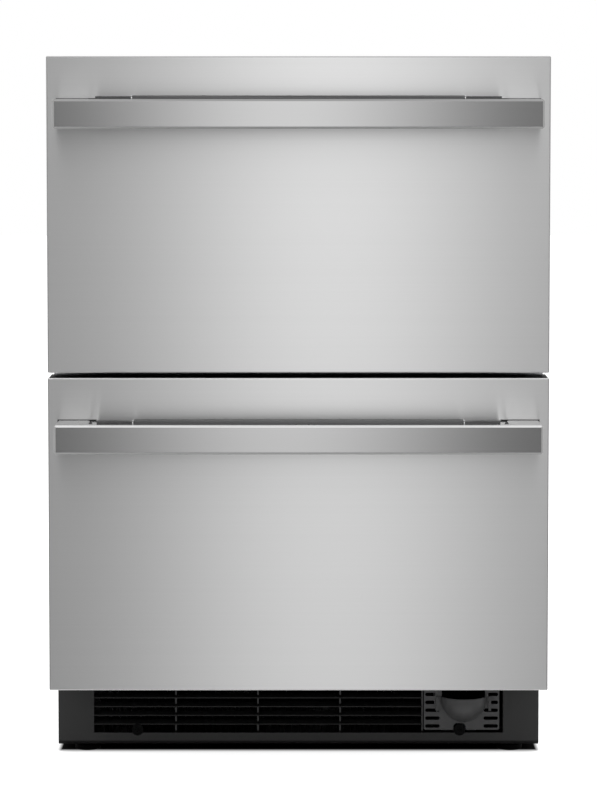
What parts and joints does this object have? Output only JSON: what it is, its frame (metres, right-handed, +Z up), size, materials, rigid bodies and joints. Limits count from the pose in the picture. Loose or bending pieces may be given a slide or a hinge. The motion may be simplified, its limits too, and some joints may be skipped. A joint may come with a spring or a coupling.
{
  "type": "undercounter drawer freezer",
  "caption": "Undercounter freezer with stacked stainless drawers, square bar handles, a recessed louvred toe kick and a tilt-out water filter flap.",
  "frame": {"origin": "centre of the footprint on the floor, with the legs screwed in", "axes": "+X to the right, drawers open towards -Y, +Z up"},
  "size_m": [0.605, 0.665, 0.867],
  "materials": {
    "cabinet_paint": "satin",
    "galvanised": "matte",
    "foam": "matte",
    "liner_white": "satin",
    "frame_grey": "satin",
    "tray_grey": "satin",
    "kick_black": "satin",
    "grille_black": "matte",
    "flap_grey": "satin",
    "screw_black": "satin",
    "filter_white": "satin",
    "cap_grey": "satin",
    "compressor_black": "gloss",
    "rubber_black": "matte",
    "fin_aluminium": "satin",
    "shroud_black": "matte",
    "motor_grey": "satin",
    "copper": "satin",
    "valve_white": "satin",
    "control_grey": "satin",
    "cover_white": "satin",
    "ice_maker_metal": "satin",
    "panel_dark": "gloss",
    "lens": "satin",
    "slide_steel": "satin",
    "stainless": "satin",
    "handle_steel": "satin",
    "grip_dark": "satin",
    "panel_grey": "satin",
    "gasket_grey": "matte",
    "bin_clear": "gloss",
    "bin_white": "satin"
  },
  "bodies": {
    "cabinet": {"cabinet_wrapper": "cabinet_paint", "back_deck_panel": "galvanised", "insulation_foam": "foam", "upper_liner": "liner_white", "lower_liner": "liner_white", "front_frame": "frame_grey", "base_tray": "tray_grey", "kick_frame": "kick_black", "vent_grille": "grille_black", "screws": "screw_black", "filter_housing": "filter_white", "compressor": "compressor_black", "compressor_grommets": "rubber_black", "condenser_coil": "fin_aluminium", "condenser_fan_shroud": "shroud_black", "fan_motors": "motor_grey", "drain_pan": "shroud_black", "refrigerant_tubes": "copper", "machine_cover": "tray_grey", "water_inlet_valve": "valve_white", "power_inlet": "grille_black", "control_box": "control_grey", "evaporator_coil": "fin_aluminium", "evaporator_cover": "cover_white", "ice_maker": "ice_maker_metal", "control_panel": "panel_dark", "light_lenses": "lens", "slide_rails": "slide_steel", "counter_brackets": "galvanised"},
    "filter": {"filter_cartridge": "filter_white", "filter_cap": "cap_grey"},
    "filter_flap": {"filter_flap": "flap_grey"},
    "condenser_fan": {"condenser_fan_blade": "shroud_black"},
    "evaporator_fan": {"evaporator_fan_blade": "cover_white"},
    "ice_ejector": {"ice_ejector": "cover_white"},
    "ice_bail_arm": {"ice_bail_arm": "slide_steel"},
    "leg_front_left": {"leg_front_left": "rubber_black"},
    "leg_front_right": {"leg_front_right": "rubber_black"},
    "leg_rear_left": {"leg_rear_left": "rubber_black"},
    "leg_rear_right": {"leg_rear_right": "rubber_black"},
    "upper_drawer": {"upper_front_skin": "stainless", "upper_inner_panel": "panel_grey", "upper_gasket": "gasket_grey", "upper_handle_bar": "handle_steel", "upper_handle_posts": "handle_steel", "upper_handle_grip": "grip_dark", "upper_drawer_frame": "slide_steel", "upper_bin": "bin_clear"},
    "upper_slide_middle": {"upper_slide_middle": "slide_steel"},
    "upper_divider": {"upper_divider": "bin_clear"},
    "lower_drawer": {"lower_front_skin": "stainless", "lower_inner_panel": "panel_grey", "lower_gasket": "gasket_grey", "lower_handle_bar": "handle_steel", "lower_handle_posts": "handle_steel", "lower_handle_grip": "grip_dark", "lower_drawer_frame": "slide_steel", "lower_bin": "bin_clear", "ice_bin": "bin_white"},
    "lower_slide_middle": {"lower_slide_middle": "slide_steel"}
  },
  "joints": [
    {"name": "upper_drawer_slide", "type": "slide", "parent": "cabinet", "child": "upper_drawer", "axis": [0, -1, 0], "range_m": [0, 0.4]},
    {"name": "upper_slide_extension", "type": "slide", "parent": "cabinet", "child": "upper_slide_middle", "axis": [0, -1, 0], "range_m": [0, 0.2]},
    {"name": "upper_divider_shift", "type": "slide", "parent": "upper_drawer", "child": "upper_divider", "axis": [1, 0, 0], "range_m": [-0.15, 0.15]},
    {"name": "lower_drawer_slide", "type": "slide", "parent": "cabinet", "child": "lower_drawer", "axis": [0, -1, 0], "range_m": [0, 0.4]},
    {"name": "lower_slide_extension", "type": "slide", "parent": "cabinet", "child": "lower_slide_middle", "axis": [0, -1, 0], "range_m": [0, 0.2]},
    {"name": "filter_flap_tilt", "type": "hinge", "parent": "cabinet", "child": "filter_flap", "pos_m": [0.20305, -0.1835, 0.0335], "axis": [1, 0, 0], "range_deg": [0, 75]},
    {"name": "filter_turn", "type": "hinge", "parent": "cabinet", "child": "filter", "pos_m": [0.20305, -0.1615, 0.0585], "axis": [0, 1, 0], "range_deg": [0, 90]},
    {"name": "condenser_fan_spin", "type": "hinge", "parent": "cabinet", "child": "condenser_fan", "pos_m": [0.032, 0.13, 0.11375], "axis": [0, 1, 0], "continuous": true},
    {"name": "evaporator_fan_spin", "type": "hinge", "parent": "cabinet", "child": "evaporator_fan", "pos_m": [0, 0.2295, 0.765], "axis": [0, 1, 0], "continuous": true},
    {"name": "ice_ejector_turn", "type": "hinge", "parent": "cabinet", "child": "ice_ejector", "pos_m": [0, 0.1258, 0.425], "axis": [1, 0, 0], "continuous": true},
    {"name": "ice_bail_arm_swing", "type": "hinge", "parent": "cabinet", "child": "ice_bail_arm", "pos_m": [0, 0.0808, 0.366], "axis": [-1, 0, 0], "range_deg": [0, 30]},
    {"name": "leg_front_left_adjust", "type": "slide", "parent": "cabinet", "child": "leg_front_left", "axis": [0, 0, -1], "range_m": [0, 0.022]},
    {"name": "leg_front_right_adjust", "type": "slide", "parent": "cabinet", "child": "leg_front_right", "axis": [0, 0, -1], "range_m": [0, 0.022]},
    {"name": "leg_rear_left_adjust", "type": "slide", "parent": "cabinet", "child": "leg_rear_left", "axis": [0, 0, -1], "range_m": [0, 0.022]},
    {"name": "leg_rear_right_adjust", "type": "slide", "parent": "cabinet", "child": "leg_rear_right", "axis": [0, 0, -1], "range_m": [0, 0.022]}
  ],
  "couplings": [
    {"joint": "upper_slide_extension", "follows": "upper_drawer_slide", "ratio": 0.5},
    {"joint": "lower_slide_extension", "follows": "lower_drawer_slide", "ratio": 0.5}
  ]
}
